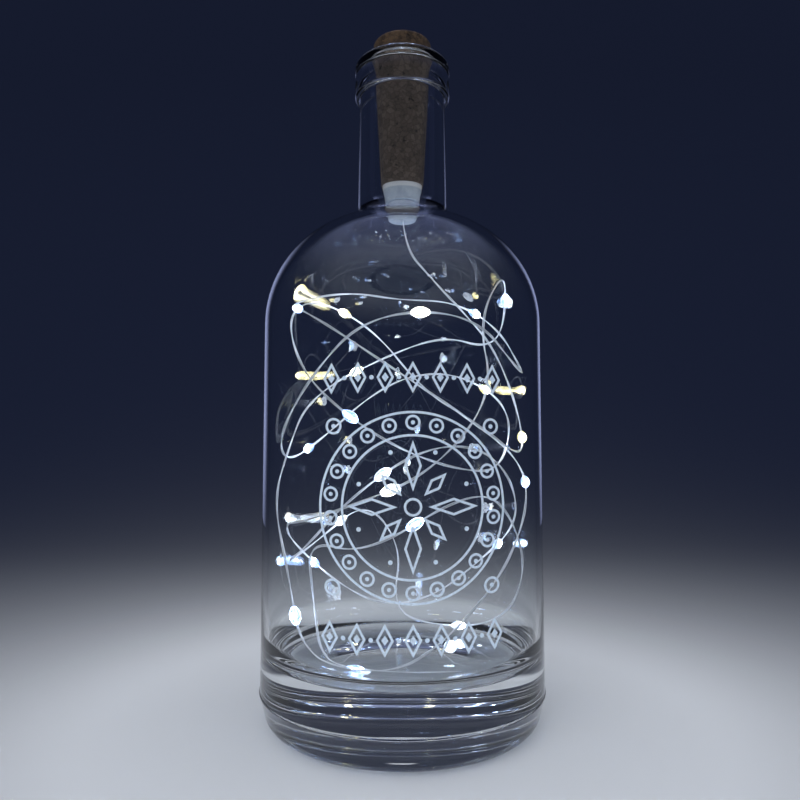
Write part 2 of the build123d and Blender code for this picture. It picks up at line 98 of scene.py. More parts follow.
def select_only(piece):
    """Make one piece the selected and active one."""
    deselect_all()
    piece.select_set(True)
    bpy.context.view_layer.objects.active = piece


def place_in_mesh(piece):
    """Put the piece's place, turn and scale into its mesh, so that its object sits at the origin."""
    select_only(piece)
    bpy.ops.object.transform_apply(location=True, rotation=True, scale=True)


def give_finish(piece, material):
    """Make one material the whole finish of a piece."""
    piece.data.materials.clear()
    piece.data.materials.append(material)


# %% Lathe helpers
MERGE_DISTANCE = 0.002 * MM
LATHE_EDGE = math.radians(40)


def arc(centre, radius, start, end, steps):
    """Points on an arc of a profile, as radius and height in millimetres, angles in degrees."""
    points = []
    for step in range(steps + 1):
        turn = math.radians(start + (end - start) * step / steps)
        points.append((centre[0] + radius * math.cos(turn), centre[1] + radius * math.sin(turn)))
    return points


def spin_profile(name, profile, segments):
    """Extrude one vertex along a profile and spin the line once about the Z axis."""
    deselect_all()
    first = Vector((profile[0][0] * MM, 0, profile[0][1] * MM))
    bpy.ops.mesh.primitive_plane_add(size=1 * MM, location=first)
    piece = bpy.context.object
    piece.name = name
    bpy.ops.object.mode_set(mode="EDIT")
    bpy.ops.mesh.select_all(action="SELECT")
    bpy.ops.mesh.merge(type="CENTER")
    for here, there in zip(profile, profile[1:]):
        step = ((there[0] - here[0]) * MM, 0, (there[1] - here[1]) * MM)
        bpy.ops.mesh.extrude_vertices_move(TRANSFORM_OT_translate={"value": step})
    bpy.ops.mesh.select_all(action="SELECT")
    bpy.ops.mesh.spin(steps=segments, angle=math.tau, center=(0, 0, 0), axis=(0, 0, 1))
    bpy.ops.mesh.select_all(action="SELECT")
    bpy.ops.mesh.remove_doubles(threshold=MERGE_DISTANCE)
    bpy.ops.mesh.normals_make_consistent(inside=False)
    bpy.ops.object.mode_set(mode="OBJECT")
    place_in_mesh(piece)
    bpy.ops.object.shade_smooth_by_angle(angle=LATHE_EDGE)
    print(name, "has", len(piece.data.polygons), "faces")
    return piece


# %% [markdown]
# ## Effects that several finishes share
# Real surfaces are never one flat value. A node group, the mottle, is built once and gives every finish a
# soft tone, a roughness and a height from noise. The cork gets a second group of its own further on.


# %% Node helpers
def link(tree, source, target):
    """Join two sockets of a node tree."""
    tree.links.new(source, target)


def add_node(tree, kind, **values):
    """Add a node and set its input sockets by name."""
    node = tree.nodes.new(kind)
    for name, value in values.items():
        node.inputs[name.replace("_", " ")].default_value = value
    return node


def add_math(tree, operation, first=None, second=None):
    """Add a math node, with a fixed number on either side where one is given."""
    node = tree.nodes.new("ShaderNodeMath")
    node.operation = operation
    for socket, value in zip(node.inputs, (first, second)):
        if value is not None:
            socket.default_value = value
    return node


def add_blend(tree, first=None, second=None):
    """Add a node that blends two colours, which are fixed where they are given."""
    node = tree.nodes.new("ShaderNodeMix")
    node.data_type = "RGBA"
    for name, colour in (("A", first), ("B", second)):
        if colour is not None:
            node.inputs[name].default_value = (*colour, 1)
    return node


def group_sockets(group, inputs, outputs):
    """Give a node group its named sockets."""
    for name, kind, value in inputs:
        socket = group.interface.new_socket(name=name, in_out="INPUT", socket_type=kind)
        socket.default_value = value
    for name, kind in outputs:
        group.interface.new_socket(name=name, in_out="OUTPUT", socket_type=kind)


# %% Mottle group
FINE_RATIO = 7.0


def build_mottle():
    """Soft noise in two sizes: a mixed colour, a roughness and a height."""
    group = bpy.data.node_groups.new("mottle", "ShaderNodeTree")
    group_sockets(
        group,
        [("Scale", "NodeSocketFloat", 200.0), ("Colour A", "NodeSocketColor", (1, 1, 1, 1)),
         ("Colour B", "NodeSocketColor", (0, 0, 0, 1)), ("Rough A", "NodeSocketFloat", 0.3),
         ("Rough B", "NodeSocketFloat", 0.5)],
        [("Colour", "NodeSocketColor"), ("Roughness", "NodeSocketFloat"), ("Height", "NodeSocketFloat")],
    )
    entry = group.nodes.new("NodeGroupInput")
    result = group.nodes.new("NodeGroupOutput")
    place = group.nodes.new("ShaderNodeTexCoord")
    broad = add_node(group, "ShaderNodeTexNoise", Detail=4.0, Roughness=0.6)
    fine = add_node(group, "ShaderNodeTexNoise", Detail=3.0, Roughness=0.7)
    finer = add_math(group, "MULTIPLY", second=FINE_RATIO)
    colour = add_blend(group)
    rough = group.nodes.new("ShaderNodeMix")
    link(group, place.outputs["Object"], broad.inputs["Vector"])
    link(group, place.outputs["Object"], fine.inputs["Vector"])
    link(group, entry.outputs["Scale"], broad.inputs["Scale"])
    link(group, entry.outputs["Scale"], finer.inputs[0])
    link(group, finer.outputs[0], fine.inputs["Scale"])
    link(group, broad.outputs["Fac"], colour.inputs["Factor"])
    link(group, entry.outputs["Colour A"], colour.inputs["A"])
    link(group, entry.outputs["Colour B"], colour.inputs["B"])
    link(group, fine.outputs["Fac"], rough.inputs["Factor"])
    link(group, entry.outputs["Rough A"], rough.inputs["A"])
    link(group, entry.outputs["Rough B"], rough.inputs["B"])
    link(group, colour.outputs["Result"], result.inputs["Colour"])
    link(group, rough.outputs["Result"], result.inputs["Roughness"])
    link(group, fine.outputs["Fac"], result.inputs["Height"])
    return group


MOTTLE = build_mottle()
print("built group", MOTTLE.name)


# %% Finish maker
RELIEF_DEPTH = 0.1 * MM


def new_finish(name):
    """A new material with its node tree and its main shader."""
    material = bpy.data.materials.new(name)
    material.use_nodes = True
    tree = material.node_tree
    return material, tree, tree.nodes["Principled BSDF"]


def place_mottle(tree, colours, rough, scale):
    """Place the mottle in a finish, with its two tones and two values of roughness."""
    tone = tree.nodes.new("ShaderNodeGroup")
    tone.node_tree = MOTTLE
    tone.inputs["Scale"].default_value = scale
    tone.inputs["Colour A"].default_value = (*colours[0], 1)
    tone.inputs["Colour B"].default_value = (*colours[1], 1)
    tone.inputs["Rough A"].default_value = rough[0]
    tone.inputs["Rough B"].default_value = rough[1]
    return tone


def mottled(name, colours, rough, scale, metallic=0.0, bump=0.02):
    """A finish of two close tones, a roughness that wanders between two values and a fine height."""
    material, tree, shader = new_finish(name)
    tone = place_mottle(tree, colours, rough, scale)
    shader.inputs["Metallic"].default_value = metallic
    relief = add_node(tree, "ShaderNodeBump", Strength=bump, Distance=RELIEF_DEPTH)
    link(tree, tone.outputs["Colour"], shader.inputs["Base Color"])
    link(tree, tone.outputs["Roughness"], shader.inputs["Roughness"])
    link(tree, tone.outputs["Height"], relief.inputs["Height"])
    link(tree, relief.outputs["Normal"], shader.inputs["Normal"])
    return material


# %% [markdown]
# ## The string
# The string is a pair of thin silver wires that runs down from the stopper and round the wall in loose
# loops. Its route is a smooth spline on listed control points. Each is an azimuth in degrees, a
# distance from the axis and a height in millimetres. The first row is for the lead. Then comes a row for
# each lamp, which sits in the middle between the first two points of its row. The last row also has the
# free end on the floor.

# %% Route of the string
LEAD_TOP = 166.0
ROUTE = [
    (0, 0, LEAD_TOP), (0, 0, 150), (84, 10, 138), (82, 20, 126.5), (86, 30, 115),
    (98, 40, 94), (66, 39.5, 79), (38, 35, 89.5), (0, 35, 103),
    (318, 38, 121), (272, 38, 130), (226, 28, 139), (182, 30, 138),
    (146, 34, 137), (113, 36.5, 125), (92, 40, 108), (58, 40, 105),
    (28, 40, 120.5), (346, 38.5, 119.5), (322, 41, 103), (294, 40.5, 85),
    (264, 38, 78), (226, 38, 88), (200, 38.5, 102), (176, 41, 111),
    (148, 41, 111), (108, 40.5, 97), (66, 33, 76), (26, 33, 77),
    (353, 39, 84.5), (321, 37.5, 99), (300, 37, 112), (272, 37, 127),
    (240, 36, 136), (198, 36, 128), (168, 38, 105), (138, 38, 93),
    (98, 40.5, 79), (68, 40.5, 66), (40, 39, 44), (358, 36.5, 21.5),
    (314, 38, 24), (304, 39, 48), (290, 40.8, 68), (258, 40.8, 80),
    (236, 40.8, 102), (180, 33.5, 120), (150, 34, 124), (120, 34, 118),
    (100, 35, 122), (60, 36, 138), (38, 34.5, 120), (44, 37, 98),
    (11, 40.5, 76.5), (339, 40.5, 67.5), (310, 38, 62), (282, 37, 60),
    (252, 40.5, 52), (217, 40, 34), (190, 39, 24), (162, 40, 28),
    (136, 40, 42), (100, 39.5, 58), (68, 35.5, 74), (38, 34.5, 84),
    (6, 39.5, 83), (334, 34, 69), (304, 34, 54), (270, 38, 46),
    (238, 36.5, 50), (200, 39.5, 64), (180, 40, 46), (186, 34, 26),
    (166, 27, 20.6), (107, 34, 24), (88, 40.5, 44), (56, 35.5, 68),
    (24, 39.5, 71), (346, 40, 55), (318, 39, 58), (310, 33, 40),
    (312, 31, 20.8), (354, 31, 20.6), (28, 34, 20.6),
]
print("route has", len(ROUTE), "points")


def route_point(azimuth, radius, height):
    """Point of the route in metres; the azimuth runs from the front towards the right."""
    turn = math.radians(azimuth)
    return Vector((radius * math.sin(turn), -radius * math.cos(turn), height)) * MM


# %% Spline of the string
STEPS_PER_POINT = 16


def route_line():
    """Points along a smooth spline that has the route as its control points."""
    curve = bpy.data.curves.new("string_line", "CURVE")
    curve.dimensions = "3D"
    spline = curve.splines.new("NURBS")
    spline.points.add(len(ROUTE) - 1)
    for point, place in zip(spline.points, ROUTE):
        point.co = (*route_point(*place), 1)
    spline.order_u = 3
    spline.use_endpoint_u = True
    curve.resolution_u = STEPS_PER_POINT
    holder = bpy.data.objects.new("string_line", curve)
    scene.collection.objects.link(holder)
    bpy.context.view_layer.update()
    mesh = bpy.data.meshes.new_from_object(holder)
    points = [vertex.co.copy() for vertex in mesh.vertices]
    bpy.data.objects.remove(holder)
    bpy.data.meshes.remove(mesh)
    return points


string_points = route_line()

# %% [markdown]
# Two strands lie side by side and turn slowly round each other, so the string catches the light as a double
# line. Each strand is a thin tube along the spline's points, shifted to one side of it.

# %% Strands
STRAND_RADIUS = 0.16 * MM
STRAND_SHIFT = 0.19 * MM
STRAND_TWIST = 38.0 * MM
STRAND_EDGE = math.radians(60)


def side_directions(points):
    """A direction square to the line at each point, carried along without sudden turns."""
    side = Vector((1, 0, 0))
    sides = []
    travelled = 0.0
    for index, point in enumerate(points):
        ahead = points[min(index + 1, len(points) - 1)] - points[max(index - 1, 0)]
        ahead.normalize()
        side = (side - ahead * side.dot(ahead)).normalized()
        if index:
            travelled += (point - points[index - 1]).length
        turn = math.tau * travelled / STRAND_TWIST
        sides.append(side * math.cos(turn) + ahead.cross(side) * math.sin(turn))
    return sides


def strand(points, name):
    """Thin round tube along points, as a mesh."""
    curve = bpy.data.curves.new(name, "CURVE")
    curve.dimensions = "3D"
    curve.bevel_depth = STRAND_RADIUS
    curve.bevel_resolution = 1
    curve.use_fill_caps = True
    spline = curve.splines.new("POLY")
    spline.points.add(len(points) - 1)
    for place, point in zip(spline.points, points):
        place.co = (*point, 1)
    piece = bpy.data.objects.new(name, curve)
    scene.collection.objects.link(piece)
    select_only(piece)
    bpy.ops.object.convert(target="MESH")
    return bpy.context.object


sides = side_directions(string_points)
left = strand([point + side * STRAND_SHIFT for point, side in zip(string_points, sides)], "light_string")
right = strand([point - side * STRAND_SHIFT for point, side in zip(string_points, sides)], "second_strand")
select_only(left)
right.select_set(True)
bpy.ops.object.join()
light_string = bpy.context.object
light_string.name = "light_string"
bpy.ops.object.shade_smooth_by_angle(angle=STRAND_EDGE)
SILVER = [(0.80, 0.82, 0.86), (0.66, 0.69, 0.74)]
give_finish(light_string, mottled("silver_wire", SILVER, (0.25, 0.4), 500, metallic=0.15, bump=0.05))
print("string mesh has", len(light_string.data.polygons), "faces")

# %% [markdown]
# The string leaves the stopper's end piece, and its lamps sit on it. Its mesh is baked in place, and the
# solids of the lead and the loops are hidden.

LAMP_NAMES = [f"lamp_{number:02d}" for number in range(1, 21)]
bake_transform(light_string)
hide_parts("string_lead", "string_loops")

# %% [markdown]
# ## The glass bottle
# The bottle is clear glass with a thick base. The light inside is bent at every face, so the outline is
# drawn finer than the solid's mesh: outside from the hollow under the base up to the mouth, then down the
# inside to the floor, and spun in many steps.

# %% Sizes of the glass
HOLLOW = [(0, 1.5), (8, 1.39), (16, 1.07), (23, 0.62), (30, 0)]
BODY = 44.0
WALL = 2.0
FLOOR = 19.0
FLOOR_CORNER = 9.0
HEEL_HEIGHT = 9.6
HEEL_INSET = 2.2
HEEL = 4.5
RIDGE_ROUNDING = 0.45
RIDGE_HEIGHT = 0.3
SHOULDER_START = 122.0
SHOULDER = 36.0
NECK_ROOT = 14.7
NECK_TOP = 14.1
ROOT_ROUNDING = 5.0
COLLAR = 15.7
COLLAR_FOOT = 198.5
FOOT_FILLET = 0.5
FOOT_ROUNDING = 0.8
GROOVE = 206.0
GROOVE_DEPTH = 0.5
RIM = 210.0
RIM_ROUNDING = 1.2
MOUTH_ROUNDING = 1.0
BORE = 9.3
THROAT = 10.0
DOME = (BODY - SHOULDER, SHOULDER_START)
print("bottle is", 2 * BODY, "mm wide and", RIM, "mm tall")


def beside_dome(offset, reach):
    """Centre of a rounding beside the dome: its distance from the axis and its reach from the dome."""
    return (offset, DOME[1] + math.sqrt(reach ** 2 - (offset - DOME[0]) ** 2))


def dome_angle(centre):
    """Angle on the dome where a rounding with this centre meets it."""
    return math.degrees(math.atan2(centre[1] - DOME[1], centre[0] - DOME[0]))


# %% [markdown]
# The heel leans in below a fine ridge, which the mould leaves where its bottom plate meets its sides. The
# ridge is only a third of a millimetre high, but it draws a bright ring round the base. The mouth has a
# collar with a narrow groove, and its edges are rounded, as they are by fire on the real glass.

# %% Outline of the glass
heel_lean = math.atan(HEEL_INSET / HEEL_HEIGHT)
heel_centre = (BODY - HEEL_INSET - HEEL * (1 - math.sin(heel_lean)) / math.cos(heel_lean), HEEL)
root = beside_dome(NECK_ROOT + ROOT_ROUNDING, SHOULDER + ROOT_ROUNDING)
throat = beside_dome(BORE + THROAT, SHOULDER - WALL + THROAT)
base = (
    HOLLOW
    + arc(heel_centre, HEEL, -90, -math.degrees(heel_lean), 10)
    + arc((BODY + RIDGE_HEIGHT - RIDGE_ROUNDING, HEEL_HEIGHT + 0.1), RIDGE_ROUNDING, -60, 60, 6)
)
wall_and_neck = (
    [(BODY, 10.5)]
    + [(BODY, height) for height in range(20, 120, 10)]
    + arc(DOME, SHOULDER, 0, dome_angle(root), 28)
    + arc(root, ROOT_ROUNDING, 180 + dome_angle(root), 180, 8)
    + [(14.5, 175), (14.3, 187), (NECK_TOP, COLLAR_FOOT - 0.7)]
)
groove = [
    (COLLAR, GROOVE - 0.7), (COLLAR - 0.15, GROOVE - 0.45), (COLLAR - GROOVE_DEPTH, GROOVE - 0.3),
    (COLLAR - GROOVE_DEPTH, GROOVE + 0.3), (COLLAR - 0.15, GROOVE + 0.45), (COLLAR, GROOVE + 0.7),
]
collar = (
    arc((NECK_TOP + FOOT_FILLET, COLLAR_FOOT - FOOT_FILLET), FOOT_FILLET, 180, 90, 3)
    + arc((COLLAR - FOOT_ROUNDING, COLLAR_FOOT + FOOT_ROUNDING), FOOT_ROUNDING, -90, 0, 5)
    + [(COLLAR, 202.4)]
    + groove
    + arc((COLLAR - RIM_ROUNDING, RIM - RIM_ROUNDING), RIM_ROUNDING, 0, 90, 6)
    + arc((BORE + MOUTH_ROUNDING, RIM - MOUTH_ROUNDING), MOUTH_ROUNDING, 90, 180, 5)
)
inside = (
    [(BORE, height) for height in (200, 190, 180, 172)]
    + arc(throat, THROAT, 180, 180 + dome_angle(throat), 12)
    + arc(DOME, SHOULDER - WALL, dome_angle(throat), 0, 28)
    + [(BODY - WALL, height) for height in range(110, 30, -10)]
    + arc((BODY - WALL - FLOOR_CORNER, FLOOR + FLOOR_CORNER), FLOOR_CORNER, 0, -90, 14)
    + [(20, FLOOR), (10, FLOOR), (0, FLOOR)]
)
glass_outline = base + wall_and_neck + collar + inside
print("outline has", len(glass_outline), "points")

# %% Spin the glass
SPIN_STEPS = 180
glass_bottle = spin_profile("bottle_glass", glass_outline, SPIN_STEPS)

# %% [markdown]
# Clear glass is all but colourless, with a breath of blue-green where it is thick. Its faces wander a
# little, as blown glass does, which shows as soft bends in what lies behind it.

# %% Glass finish
GLASS_TINTS = [(0.985, 0.995, 1.0), (0.955, 0.98, 0.985)]
GLASS_IOR = 1.5


def clear_glass_finish():
    """Clear glass with a faint tint and slow waves."""
    material, tree, shader = new_finish("clear_glass")
    place = tree.nodes.new("ShaderNodeTexCoord")
    tint = place_mottle(tree, GLASS_TINTS, (0.0, 0.012), 14)
    waves = add_node(tree, "ShaderNodeTexNoise", Scale=22.0, Detail=1.0)
    relief = add_node(tree, "ShaderNodeBump", Strength=0.05, Distance=2.0 * MM)
    shader.inputs["Transmission Weight"].default_value = 1.0
    shader.inputs["IOR"].default_value = GLASS_IOR
    link(tree, place.outputs["Object"], waves.inputs["Vector"])
    link(tree, waves.outputs["Fac"], relief.inputs["Height"])
    link(tree, tint.outputs["Colour"], shader.inputs["Base Color"])
    link(tree, tint.outputs["Roughness"], shader.inputs["Roughness"])
    link(tree, relief.outputs["Normal"], shader.inputs["Normal"])
    return material


give_finish(glass_bottle, clear_glass_finish())
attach(glass_bottle, "bottle")
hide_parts("glass_bottle", "glass_neck")
print("glass fitted")

# %% [markdown]
# ## Etched ornament
# The front of the bottle carries a fine frosted line drawing, cut into the glass by a laser. It is drawn
# flat in front of the bottle: outlines are circles and stretched squares that are inset, with the middle
# taken out. The drawing is then projected on the glass and gets the thickness of a breath of frost.

# %% One etched outline
ORNAMENT_CENTRE = Vector((2.6, -52, 68)) * MM
STROKE = 0.62 * MM
FACING_FRONT = math.pi / 2


def etched_shape(corners, radius, stretch=1.0, hollow=True, cuts=0):
    """Flat outline or dot in front of the bottle, from a circle with few or many corners."""
    deselect_all()
    bpy.ops.mesh.primitive_circle_add(
        vertices=corners, radius=radius * MM, fill_type="NGON",
        location=ORNAMENT_CENTRE, rotation=(FACING_FRONT, 0, 0),
    )
    piece = bpy.context.object
    bpy.ops.object.mode_set(mode="EDIT")
    bpy.ops.mesh.select_all(action="SELECT")
    bpy.ops.transform.resize(value=(1, 1, stretch), center_override=ORNAMENT_CENTRE)
    if hollow:
        bpy.ops.mesh.inset(thickness=STROKE)
        bpy.ops.mesh.delete(type="FACE")
    if cuts:
        bpy.ops.mesh.select_all(action="SELECT")
        bpy.ops.mesh.subdivide(number_cuts=cuts)
    bpy.ops.object.mode_set(mode="OBJECT")
    return piece


def copy_to(piece, places):
    """Copies of an etched shape, each at an x and z offset in millimetres and a turn in radians."""
    copies = []
    for across, up, turn in places:
        select_only(piece)
        bpy.ops.object.duplicate()
        copy = bpy.context.object
        copy.location = ORNAMENT_CENTRE + Vector((across, 0, up)) * MM
        copy.rotation_euler = (FACING_FRONT, turn, 0)
        copies.append(copy)
    bpy.data.objects.remove(piece)
    return copies


def round_places(count, distance, start=0.0):
    """Places on a ring, each turned to point outwards."""
    turns = [start + math.tau * step / count for step in range(count)]
    return [(distance * math.sin(turn), distance * math.cos(turn), turn) for turn in turns]


def row_places(count, spacing, height):
    """Places in a level row."""
    return [((step - (count - 1) / 2) * spacing, height, 0.0) for step in range(count)]


# %% [markdown]
# The drawing is a compass star in a ring of beads, with a band of diamonds above and below it. Each motif
# is modelled once and copied to its places, and nothing overlaps, so the frost has one even depth.

# %% Draw the ornament
HUB = 2.4
INNER_RING = 18.8
OUTER_RING = 24.8
DOT = 0.6
EIGHTH = math.pi / 4
BEADS = round_places(22, 21.8)
CORNERS = round_places(4, 29.6, EIGHTH)
BAND_HEIGHT = 33.6
BAND_SPACING = 7.2


def diamond(half_width, half_height, cuts):
    """Outline of an upright diamond."""
    return etched_shape(4, half_width, half_height / half_width, cuts=cuts)


etched = [etched_shape(96, INNER_RING), etched_shape(112, OUTER_RING), etched_shape(16, HUB)]
etched += copy_to(diamond(2.3, 6.6, 5), round_places(4, 10.6))
etched += copy_to(diamond(1.7, 4.2, 4), round_places(4, 8.2, EIGHTH))
etched += copy_to(etched_shape(12, DOT, hollow=False), round_places(8, 15.2, EIGHTH / 2))
etched += copy_to(etched_shape(24, 2.0), BEADS)
etched += copy_to(etched_shape(10, 0.55, hollow=False), BEADS)
etched += copy_to(etched_shape(24, 2.2), CORNERS)
etched += copy_to(etched_shape(10, DOT, hollow=False), CORNERS)
for band in (-BAND_HEIGHT, BAND_HEIGHT):
    etched += copy_to(diamond(2.3, 4.2, 4), row_places(7, BAND_SPACING, band))
    etched += copy_to(etched_shape(4, 0.9, 1.4, hollow=False), row_places(7, BAND_SPACING, band))
    etched += copy_to(etched_shape(12, DOT, hollow=False), row_places(6, BAND_SPACING, band))
select_only(etched[0])
for shape in etched:
    shape.select_set(True)
bpy.ops.object.join()
ornament = bpy.context.object
ornament.name = "etched_ornament"
place_in_mesh(ornament)
print("ornament of", len(etched), "shapes")

# %% Lay the ornament on the glass
FROST_GAP = 0.02 * MM
FROST_DEPTH = 0.05 * MM
onto_glass = ornament.modifiers.new("onto_glass", "SHRINKWRAP")
onto_glass.target = glass_bottle
onto_glass.wrap_method = "PROJECT"
onto_glass.wrap_mode = "ABOVE_SURFACE"
onto_glass.use_project_y = True
onto_glass.use_positive_direction = True
onto_glass.use_negative_direction = False
onto_glass.offset = FROST_GAP
frost = ornament.modifiers.new("frost", "SOLIDIFY")
frost.thickness = FROST_DEPTH
frost.offset = 1.0
select_only(ornament)
bpy.ops.object.modifier_apply(modifier="onto_glass")
bpy.ops.object.modifier_apply(modifier="frost")
front = min(vertex.co.y for vertex in ornament.data.vertices)
print("ornament lies at y", round(front / MM, 2), "mm")

# %% [markdown]
# Etched lines scatter light: they are pale and matt, and the laser's fine passes leave them a little
# uneven. The paleness is a colour with fine noise, and the unevenness goes into the alpha, so the glass
# shows through.

# %% Frost finish
FROST_TINTS = [(0.72, 0.83, 0.95), (0.58, 0.71, 0.87)]


def etched_frost_finish():
    """Pale matt frost that is thinner in places."""
    material = mottled("etched_frost", FROST_TINTS, (0.55, 0.75), 900, bump=0.2)
    tree = material.node_tree
    place = tree.nodes.new("ShaderNodeTexCoord")
    passes = add_node(tree, "ShaderNodeTexNoise", Scale=2600.0, Detail=2.0)
    cover = add_node(tree, "ShaderNodeMapRange", From_Min=0.3, From_Max=0.6, To_Min=0.75, To_Max=1.0)
    link(tree, place.outputs["Object"], passes.inputs["Vector"])
    link(tree, passes.outputs["Fac"], cover.inputs["Value"])
    link(tree, cover.outputs["Result"], tree.nodes["Principled BSDF"].inputs["Alpha"])
    return material


give_finish(ornament, etched_frost_finish())
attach(ornament, "bottle")
print("ornament frosted")

# %% [markdown]
# ## Lamps
# Each lamp is a drop of clear resin round the wire, with a light chip inside. The chip burns white and is
# seen through the resin, which holds some of the light and glows itself. Cool chips differ: some drops lean
# to blue and some to a pale yellow, so the glow follows a slow noise through the bottle. Glass gives back
# only a small part of what it mirrors, so the glow is stronger where a reflection shows it.

# %% Lamp finishes
GLOW = [(0.24, 0.44, 1.0), (1.0, 0.90, 0.34)]
MIRRORED_GLOW = [(4.0, 6.0, 11.0), (11.0, 9.5, 4.5)]
GLOW_STRENGTH = 0.55
RESIN_TINT = (0.84, 0.92, 1.0)
RESIN_IOR = 1.5
PHOSPHOR = [(0.95, 0.90, 0.55), (0.90, 0.82, 0.40)]
CHIP_LIGHT = [(1.0, 1.0, 1.0), (0.90, 0.95, 1.0)]
CHIP_STRENGTH = 30.0


def tint_between(tree, factor, colours):
    """Colour that runs from the first of two tones to the second by a factor."""
    tint = add_blend(tree, *colours)
    link(tree, factor, tint.inputs["Factor"])
    return tint.outputs["Result"]


def seen_in_glass(tree):
    """One where a reflection shows the outside of a lamp, nought where it is looked at or from inside."""
    path = tree.nodes.new("ShaderNodeLightPath")
    side = tree.nodes.new("ShaderNodeNewGeometry")
    mirrored = add_math(tree, "SUBTRACT")
    mirrored.use_clamp = True
    link(tree, path.outputs["Glossy Depth"], mirrored.inputs[0])
    link(tree, side.outputs["Backfacing"], mirrored.inputs[1])
    return mirrored.outputs["Value"]


def lit_resin_finish():
    """Clear resin that holds some of its chip's light."""
    material, tree, shader = new_finish("lit_resin")
    place = tree.nodes.new("ShaderNodeTexCoord")
    lean = add_node(tree, "ShaderNodeTexNoise", Scale=30.0, Detail=0.0)
    share = add_node(tree, "ShaderNodeMapRange", From_Min=0.53, From_Max=0.64)
    light = add_blend(tree)
    cloud = add_node(tree, "ShaderNodeTexNoise", Scale=900.0, Detail=2.0)
    gloss = add_node(tree, "ShaderNodeMapRange", To_Min=0.02, To_Max=0.14)
    link(tree, place.outputs["Object"], lean.inputs["Vector"])
    link(tree, place.outputs["Object"], cloud.inputs["Vector"])
    link(tree, lean.outputs["Fac"], share.inputs["Value"])
    link(tree, seen_in_glass(tree), light.inputs["Factor"])
    link(tree, tint_between(tree, share.outputs["Result"], GLOW), light.inputs["A"])
    link(tree, tint_between(tree, share.outputs["Result"], MIRRORED_GLOW), light.inputs["B"])
    link(tree, light.outputs["Result"], shader.inputs["Emission Color"])
    link(tree, cloud.outputs["Fac"], gloss.inputs["Value"])
    link(tree, gloss.outputs["Result"], shader.inputs["Roughness"])
    shader.inputs["Base Color"].default_value = (*RESIN_TINT, 1)
    shader.inputs["Transmission Weight"].default_value = 1.0
    shader.inputs["IOR"].default_value = RESIN_IOR
    shader.inputs["Emission Strength"].default_value = GLOW_STRENGTH
    return material


def burning_chip_finish():
    """Light chip: a yellow phosphor that burns white."""
    material = mottled("burning_chip", PHOSPHOR, (0.4, 0.6), 2500)
    tree = material.node_tree
    shader = tree.nodes["Principled BSDF"]
    place = tree.nodes.new("ShaderNodeTexCoord")
    patches = add_node(tree, "ShaderNodeTexNoise", Scale=1800.0, Detail=1.0)
    link(tree, place.outputs["Object"], patches.inputs["Vector"])
    link(tree, tint_between(tree, patches.outputs["Fac"], CHIP_LIGHT), shader.inputs["Emission Color"])
    shader.inputs["Emission Strength"].default_value = CHIP_STRENGTH
    return material


# %% Light the lamps
def dress(names, material):
    """Give solids that stay as they are a finish of their own."""
    for name in names:
        give_finish(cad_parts[name], material)


dress(LAMP_NAMES, lit_resin_finish())
dress(["light_chips"], burning_chip_finish())
print("lamps lit:", len(LAMP_NAMES))

# %% [markdown]
# ## Cork
# The stopper is pressed cork: granules of a few brown tones, pressed together, with dark seams and small
# pores. Cells of a Voronoi texture make the granules, their borders make the seams, and noise the pores.

# %% Cork grain group
SEAM_WANDER = 1.1 * MM


